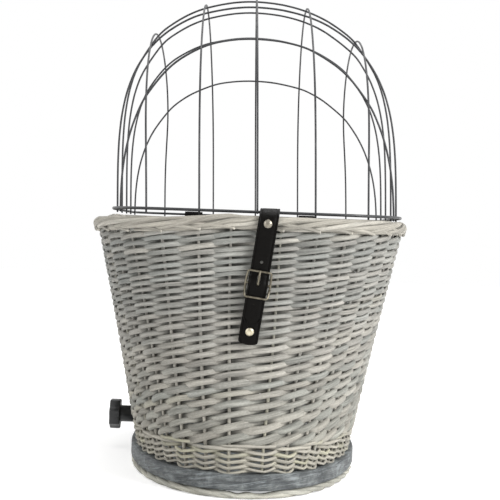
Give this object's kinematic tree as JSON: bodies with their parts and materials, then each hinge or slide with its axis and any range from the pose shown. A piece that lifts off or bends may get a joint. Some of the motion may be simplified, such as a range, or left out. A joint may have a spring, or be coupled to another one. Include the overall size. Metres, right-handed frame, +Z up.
{
  "type": "dog bicycle basket",
  "caption": "Wicker tub on a plywood base with a domed wire cage that hinges on leather loops, a buckled closing strap, and a rack clamp worked by a side knob.",
  "frame": {"origin": "on the ground under the middle of the whole footprint, in the plane of the foot border's underside", "axes": "+Z up, +Y towards the straight end with the hinge loops, -Y towards the rounded end with the closing strap, +X to the right seen from the strap"},
  "size_m": [0.3264, 0.572, 0.4949],
  "materials": {
    "willow": "split grey willow rods, dry and matt",
    "willow_border": "twisted grey-beige willow rods, matt",
    "plywood": "grey stained plywood",
    "black_wire": "black powder coat, satin",
    "black_leather": "black leather with a pressed edge line",
    "nickel": "nickel plated",
    "brass": "dull brass plated",
    "steel": "zinc plated steel",
    "cast_alloy": "die cast alloy",
    "black_plastic": "black moulded plastic"
  },
  "bodies": {
    "basket": {"base_board": "plywood", "wicker_wall": "willow", "rim_border": "willow_border", "foot_border": "willow_border", "lower_strap": "black_leather", "lower_strap_rivet": "brass", "lower_strap_washer": "steel", "hinge_left_loop": "black_leather", "hinge_left_rivet": "nickel", "hinge_left_washer": "steel", "hinge_right_loop": "black_leather", "hinge_right_rivet": "nickel", "hinge_right_washer": "steel", "clamp_channel": "steel", "clamp_claw_fixed": "cast_alloy", "wood_screw_1": "steel", "wood_screw_2": "steel", "wood_screw_3": "steel", "wood_screw_4": "steel"},
    "cage": {"cage_ring": "black_wire", "cage_hoop_1": "black_wire", "cage_hoop_2": "black_wire", "cage_hoop_3": "black_wire", "cage_hoop_4": "black_wire", "cage_hoop_5": "black_wire", "cage_hoop_6": "black_wire", "cage_bow_1": "black_wire", "cage_bow_2": "black_wire", "cage_bow_3": "black_wire", "cage_bow_4": "black_wire", "cage_bow_5": "black_wire"},
    "strap": {"closing_strap": "black_leather", "top_rivet": "nickel"},
    "buckle": {"buckle_frame": "nickel"},
    "prong": {"buckle_prong": "nickel"},
    "knob": {"star_knob": "black_plastic", "clamp_screw": "steel", "knob_washer": "steel"},
    "claw": {"clamp_claw_sliding": "cast_alloy"}
  },
  "joints": [
    {"name": "cage_open", "type": "hinge", "parent": "basket", "child": "cage", "pos_m": [0, 0.26815, 0.2646], "axis": [-1, 0, 0], "range_deg": [0, 120], "deforming": ["closing_strap"]},
    {"name": "strap_swing", "type": "hinge", "parent": "cage", "child": "strap", "pos_m": [0.0174, -0.26585, 0.2646], "axis": [-1, 0, 0], "range_deg": [0, 100], "deforming": ["closing_strap"]},
    {"name": "buckle_swing", "type": "hinge", "parent": "basket", "child": "buckle", "pos_m": [0.00891, -0.27397, 0.19972], "axis": [0.9913, 0.0238, -0.1297], "range_deg": [-9, 8], "deforming": ["closing_strap"]},
    {"name": "prong_swing", "type": "hinge", "parent": "buckle", "child": "prong", "pos_m": [0.00891, -0.27397, 0.19972], "axis": [0.9913, 0.0238, -0.1297], "range_deg": [0, 90], "deforming": ["closing_strap"]},
    {"name": "knob_turn", "type": "hinge", "parent": "basket", "child": "knob", "pos_m": [-0.139, 0.06115, 0.037], "axis": [1, 0, 0], "range_deg": [0, 8640]},
    {"name": "claw_slide", "type": "slide", "parent": "basket", "child": "claw", "axis": [-1, 0, 0], "range_m": [0, 0.03]}
  ],
  "couplings": [
    {"joint": "claw_slide", "follows": "knob_turn", "m_per_rad": 0.00019894}
  ]
}
